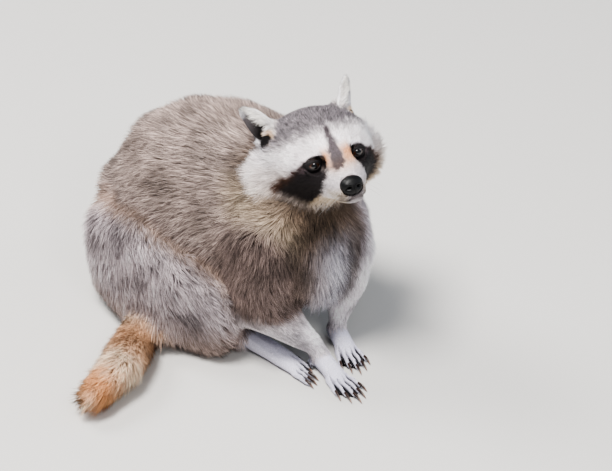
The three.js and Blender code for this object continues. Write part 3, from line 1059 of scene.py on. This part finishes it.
def pad(way):
    """The pad's surface, looking out along its own z, with y up."""
    p = Vector((way.x * PAD_HALF[0], way.y * PAD_HALF[1], way.z * PAD_HALF[2]))
    p.x *= 1 + 0.10 * p.y / PAD_HALF[1]
    if way.z > -0.1:
        u, w = abs(p.x), p.y
        pit = hump(math.hypot((u - 4.9) / 1.25, w + 1.2), 1.75)
        slit = hump(from_line(np.array([(u, w)]), NOSTRIL_SLIT)[0][0], 0.85)
        wing = hump(math.hypot(u - 6.2, w - 2.4), 2.6) + 0.7 * hump(math.hypot(u - 2.2, w + 2.2), 1.6)
        groove = hump(u, 0.75) * smooth(w, 2.5, -2.5)
        depth = 3.6 * pit + 1.3 * slit - 0.55 * wing + 0.8 * groove
        p -= way * float(depth * smooth(way.z, -0.1, 0.35))
    return p * MM


nose = show("nose_pad", ball_mesh("nose_pad", 1.0, 112, 84, pad))
nose.data.materials.append(pad_finish.material)
put_in_head(nose, PAD_AT, Matrix(((1, 0, 0), (0, 0, -1), (0, 1, 0))))
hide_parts("nose")
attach(nose, "root")

# ---------------------------------------------------------------------------
# Claws. Five to a foot, dark brown horn that pales towards the tip, arched, and
# deeper than they are wide. Each is set into the end of its toe.
CLAW_RINGS, CLAW_SIDES = 10, 10
horn = Finish("horn", Roughness=0.32, Specular_IOR_Level=0.5)
horn.feed(
    "Base Color",
    horn.blend(
        horn.noise(700.0) * 0.35,
        horn.add("ShaderNodeAttribute", {"attribute_name": "coat"}),
        (0.05, 0.03, 0.022, 1),
    ),
)
horn.feed("Normal", horn.bump(horn.noise(1200.0), 0.2, 0.2 * MM))
for foot in HEADINGS:
    parts, shades = [], []
    for number in range(1, 6):
        start, tip = claw_ends(foot, number)
        ahead = unit(tip - start)
        start = start - ahead * 3 * MM
        thick = 1.25 * MM if "fore" in foot else 1.35 * MM
        t = np.linspace(0, 1, CLAW_RINGS)
        path = start + (tip - start) * t[:, None]
        path[:, 2] += np.sin(t * math.pi) * 1.3 * MM
        radii = thick * (1 - t**2.2) ** 0.75 + 0.06 * MM
        verts, faces = tube(path, radii, CLAW_SIDES, 1.3)
        verts[:, 2] = np.maximum(verts[:, 2], 0.3 * MM)
        parts.append((verts, faces))
        pale = smooth(np.repeat(t, CLAW_SIDES), 0.55, 0.95)
        shades.append(between((44, 30, 26), (150, 118, 104), pale))
    claws = show(foot + "_claws", joined(foot + "_claws", parts))
    tint(claws.data, "coat", np.concatenate(shades))
    claws.data.materials.append(horn.material)
    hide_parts(*[f"{foot}_claw_{number}" for number in range(1, 6)])
    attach(claws, "root")

# ---------------------------------------------------------------------------
# Coat. Guard hair and underfur in fine tapered locks, each rooted in the skin
# and lying with the coat. They gather into soft points as real fur does.
LOCK_STEPS = (0.0, 0.45, 1.0)  # root, belly and tip along a lock
LOCK_FACES = ((0, 2, 1), (0, 3, 2), (0, 1, 3), (1, 2, 4), (2, 3, 4), (3, 1, 4))
GIRTH = 0.5394  # the radius of a lock's belly, as a part of the width laid down
ROOTED = 0.6 * MM  # how deep in the skin
LINE_LOW, BELLY_LOW = 1.1 * MM, 0.4 * MM  # how close a lock's line and its belly come to the floor
LEADERS = 0.13  # the share of locks that others follow
WANDER = 38  # to a metre, how finely the coat's lie drifts
PATCH = 0.003  # the size of a lock's own patch of the unwrap; the lock's points on it
LOCK_PATCH = ((0, -0.5), (0.4763, -0.05), (0, 0.01), (-0.4763, -0.05), (0, 0.5))
random = np.random.default_rng(11)

fur = Finish("guard_hair", Roughness=0.58, Specular_IOR_Level=0.22)
grain = fur.noise(700.0, 2.0)
flecked(fur, grain, (0.25, (0.86, 0.85, 0.84, 1)), (0.75, (1.1, 1.1, 1.1, 1)))
fur.feed("Roughness", 0.5 + grain * 0.2)

p = points[triangles] / MM
triangle_area = np.linalg.norm(np.cross(p[:, 1] - p[:, 0], p[:, 2] - p[:, 0]), axis=1) / 2


def unwrapped(chosen):
    """A coarse copy of a stretch of skin, laid out flat, to place each lock's patch."""
    used, where = np.unique(triangles[chosen], return_inverse=True)
    mesh = bpy.data.meshes.new("stretch")
    mesh.from_pydata(points[used].tolist(), [], where.reshape(-1, 3).tolist())
    mesh = with_modifier(mesh, "DECIMATE", ratio=min(1.0, 2200 / len(mesh.polygons)))
    flat = show("stretch", mesh)
    bpy.ops.object.select_all(action="DESELECT")
    flat.select_set(True)
    bpy.context.view_layer.objects.active = flat
    bpy.ops.object.mode_set(mode="EDIT")
    bpy.ops.mesh.select_all(action="SELECT")
    bpy.ops.uv.smart_project(angle_limit=1.15, island_margin=0.004, scale_to_bounds=True)
    bpy.ops.object.mode_set(mode="OBJECT")
    at, _, cut = read(flat.data)
    loops = rows_of(flat.data.loop_triangles, "loops", 3, np.int64)
    uv = rows_of(flat.data.uv_layers.active.uv, "vector", 2)[loops]
    bpy.data.objects.remove(flat)
    return tree_of(at, cut), at[cut], uv


def on_unwrap(roots, tree, cut, uv):
    """Where each root lies on the flat layout, by its share of the nearest triangle."""
    spots, _, rows, _ = zip(*[tree.find_nearest(Vector(p)) for p in roots])
    tri, uv = cut[list(rows)], uv[list(rows)]
    e, f, g = tri[:, 1] - tri[:, 0], tri[:, 2] - tri[:, 0], np.array(spots) - tri[:, 0]
    ee, ef, ff, eg, fg = ((a * b).sum(1) for a, b in ((e, e), (e, f), (f, f), (e, g), (f, g)))
    scale = np.maximum(ee * ff - ef * ef, 1e-20)
    b, c = (ff * eg - ef * fg) / scale, (ee * fg - ef * eg) / scale
    return uv[:, 0] * (1 - b - c)[:, None] + uv[:, 1] * b[:, None] + uv[:, 2] * c[:, None]


def grow_coat(name, slot, region, streaks):
    """Plants locks over the triangles of a region and shows them as one piece."""
    inside = region[triangles].mean(axis=1) > 0.5
    weight = np.where(inside, triangle_area * density[triangles].mean(axis=1), 0)
    total = np.cumsum(weight)
    count = int(total[-1])
    chosen = np.searchsorted(total, (np.arange(count) + random.random(count)) * total[-1] / count)
    chosen = np.minimum(chosen, len(triangles) - 1)
    b, c = random.random((2, count))
    flip = b + c > 1
    b, c = np.where(flip, 1 - b, b), np.where(flip, 1 - c, c)
    share = np.stack((1 - b - c, b, c), axis=1)

    def at_root(field):
        some = field[triangles[chosen]]
        return (some * share.reshape(count, 3, *(1,) * (field.ndim - 1))).sum(axis=1)

    base, up, ahead = at_root(points), unit(at_root(normals)), at_root(flow)
    long = at_root(length) * MM * random.uniform(0.78, 1.18, count)
    wide = at_root(width) * MM * random.uniform(0.75, 1.25, count)
    gather = at_root(clumping)

    # locks near each other follow one leader, and each strays a little of its own
    groups = max(int(count * LEADERS), 1)
    leaders = random.choice(count, groups, replace=False)
    tree = KDTree(groups)
    for k, i in enumerate(leaders):
        tree.insert(base[i], k)
    tree.balance()
    leader = leaders[[tree.find(p)[1] for p in base]]
    stray = random.normal(0, 0.10, count) + random.normal(0, 0.20, count)[leader]
    stray = (stray + drift(base, WANDER) * 0.5)[:, None]
    ahead = unit(ahead - up * (ahead * up).sum(1)[:, None])
    beside = np.cross(up, ahead)
    ahead = ahead * np.cos(stray) + beside * np.sin(stray)
    long *= random.uniform(0.9, 1.12, count)[leader]
    rise = np.clip(at_root(coat_depth) * MM / long, 0.10, 0.62) * random.uniform(0.8, 1.12, count)
    first = np.arcsin(np.clip(rise * 1.35, 0, 0.9))[:, None]
    last = np.arcsin(np.clip(rise * 0.55, 0, 0.9))[:, None]
    start_way = ahead * np.cos(first) + up * np.sin(first)
    end_way = ahead * np.cos(last) + up * np.sin(last)
    end_way = unit(end_way + beside * random.normal(0, 0.10, (count, 1)))

    # each lock's line bends over from root to tip and is drawn in to its leader's
    line = []
    for t in LOCK_STEPS:
        way = t * start_way + t * t / 2 * (end_way - start_way)
        at = base - up * ROOTED + long[:, None] * way
        line.append(at + (at[leader] - at) * (gather * t**1.4)[:, None])
    line = np.stack(line, axis=1)
    line[..., 2] = np.maximum(line[..., 2], LINE_LOW)
    tangent = unit(np.gradient(line, axis=1))
    across = unit(np.cross(up, tangent[:, 1]))
    over = np.cross(tangent[:, 1], across)
    turn = np.radians((-30, 90, 210))[:, None]
    corner = across[:, None] * np.cos(turn) + over[:, None] * np.sin(turn) * 0.5
    belly = line[:, 1:2] + corner * (wide * GIRTH)[:, None, None]
    belly[..., 2] = np.maximum(belly[..., 2], BELLY_LOW)
    verts = np.concatenate((line[:, :1], belly, line[:, 2:]), axis=1)
    up = up[:, None]
    lit = unit(np.concatenate((up, up + corner * 0.7, up + tangent[:, 2:] * 0.2), axis=1))

    # colours from root to tip: some locks end dark, the others pale
    dark = (random.random(count) < at_root(dark_tips))[:, None]
    glow = random.normal(1, 0.14, count) * random.normal(1, 0.20, count)[leader]
    glow = np.clip(1 + (glow - 1) * streaks, 0.45, 1.6)[:, None, None]
    low, mid, high = at_root(root), at_root(middle), at_root(band)
    tip = np.where(dark, mid * 0.55 + low * 0.25, high * 1.10)
    ladder = [low] + [mid * 0.6 + high * 0.4] * 3 + [tip]
    colours = (np.stack(ladder, axis=1) * glow).reshape(-1, 3)

    faces = np.array(LOCK_FACES) + np.arange(count)[:, None, None] * len(ladder)
    corners = faces.ravel()
    mesh = bpy.data.meshes.new(name)
    mesh.vertices.add(len(colours))
    mesh.loops.add(len(corners))
    mesh.polygons.add(len(corners) // 3)
    mesh.vertices.foreach_set("co", verts.astype(np.float32).ravel())
    mesh.loops.foreach_set("vertex_index", corners.astype(np.int32))
    mesh.polygons.foreach_set("loop_start", np.arange(0, len(corners), 3, dtype=np.int32))
    mesh.update()
    mesh.shade_smooth()
    tint(mesh, "coat", np.clip(colours, 0, 1))

    centre = np.clip(on_unwrap(base, *unwrapped(inside)), PATCH / 2, 1 - PATCH / 2)
    patch_uv = (centre[:, None] + np.array(LOCK_PATCH) * PATCH).reshape(-1, 2)
    layer = mesh.uv_layers.new(name="OFBake")
    layer.uv.foreach_set("vector", patch_uv[corners].astype(np.float32).ravel())
    mesh.normals_split_custom_set_from_vertices(lit.reshape(-1, 3).astype(np.float32))
    mesh.materials.append(fur.material)
    piece = show(name, mesh)
    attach(piece, "root")
    print(name, count, "locks", len(mesh.polygons), "triangles")
    return len(mesh.polygons)


on_body = 1 - np.clip(on_head + on_ear + on_tail + on_foot + on_thigh + on_foreleg, 0, 1)
head_part, body_part, thigh_part = on_head > 0.5, on_body > 0.5, on_thigh > 0.5
muzzle_part = head_part & (y < 14)
crown_part = head_part & ~muzzle_part & (z > 8)
rump_part = body_part & (py >= -78)
high_rump = rump_part & (pz > 96)
on_right = px < 0
PIECES = (
    ("coat_muzzle", "face_coat", muzzle_part, 0.4),
    ("coat_crown", "face_coat", crown_part, 1.0),
    ("coat_cheeks", "face_coat", head_part & ~muzzle_part & ~crown_part, 0.6),
    ("coat_ears", "ear_coat", on_ear, 0.4),
    ("coat_neck", "grey_coat", body_part & ~rump_part, 1.0),
    ("coat_back_right", "grey_coat", high_rump & on_right, 1.2),
    ("coat_back_left", "grey_coat", high_rump & ~on_right, 1.2),
    ("coat_sides", "grey_coat", rump_part & ~high_rump, 1.2),
    ("coat_haunch_right", "grey_coat", thigh_part & on_right, 1.0),
    ("coat_haunch_left", "grey_coat", thigh_part & ~on_right, 1.0),
    ("coat_forelegs", "pale_coat", on_foreleg, 0.8),
    ("coat_feet", "foot_coat", on_foot, 0.4),
    ("coat_tail", "tail_coat", on_tail, 0.7),
)
print("coat triangles", sum(grow_coat(*row) for row in PIECES))

# ---------------------------------------------------------------------------
# Whiskers. Stiff white hairs in three rows on each side of the muzzle, thick at
# the root and fine at the tip. Each is set into the skin.
whisker_finish = Finish("whisker", Roughness=0.35, Specular_IOR_Level=0.4)
whisker_finish.feed(
    "Base Color",
    whisker_finish.blend(whisker_finish.noise(300.0), (0.72, 0.71, 0.70, 1), (0.85, 0.84, 0.83, 1)),
)
whiskers = []
skin_tree = tree_of(points, triangles)
for side in (-1, 1):
    for row in range(3):
        for column in range(2):
            start = np.array((side * (13 + 1.5 * column), -30 + 5.5 * column, -28 - 3.2 * row))
            found = skin_tree.find_nearest(Vector(from_head(start)))[0]
            start = in_head(np.array(found)[None])[0]
            way = (side * (1.0 - 0.1 * column), 0.55 + 0.12 * column, -0.30 - 0.12 * row)
            way = unit(np.array(way))
            reach = (30 - 3 * row + 5 * column) * random.uniform(0.8, 1.1)
            t = np.linspace(0, 1, 9)[:, None]
            path = start - way * 1.5 + way * reach * t + np.array((0, 8, -14)) * t**2 * reach / 50
            radii = 0.08 * (1 - t[:, 0]) ** 0.7 + 0.02
            verts, faces = tube(path, radii, 5)
            whiskers.append((from_head(verts), faces))
whisker_piece = show("whiskers", joined("whiskers", whiskers))
whisker_piece.data.materials.append(whisker_finish.material)
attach(whisker_piece, "root")

# ---------------------------------------------------------------------------
# Size. The box of the drawn form and the box of the finished model, in metres.
size = {
    "cad": [list(corner) for corner in cad_box],
    "visual": [list(corner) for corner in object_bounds()],
}
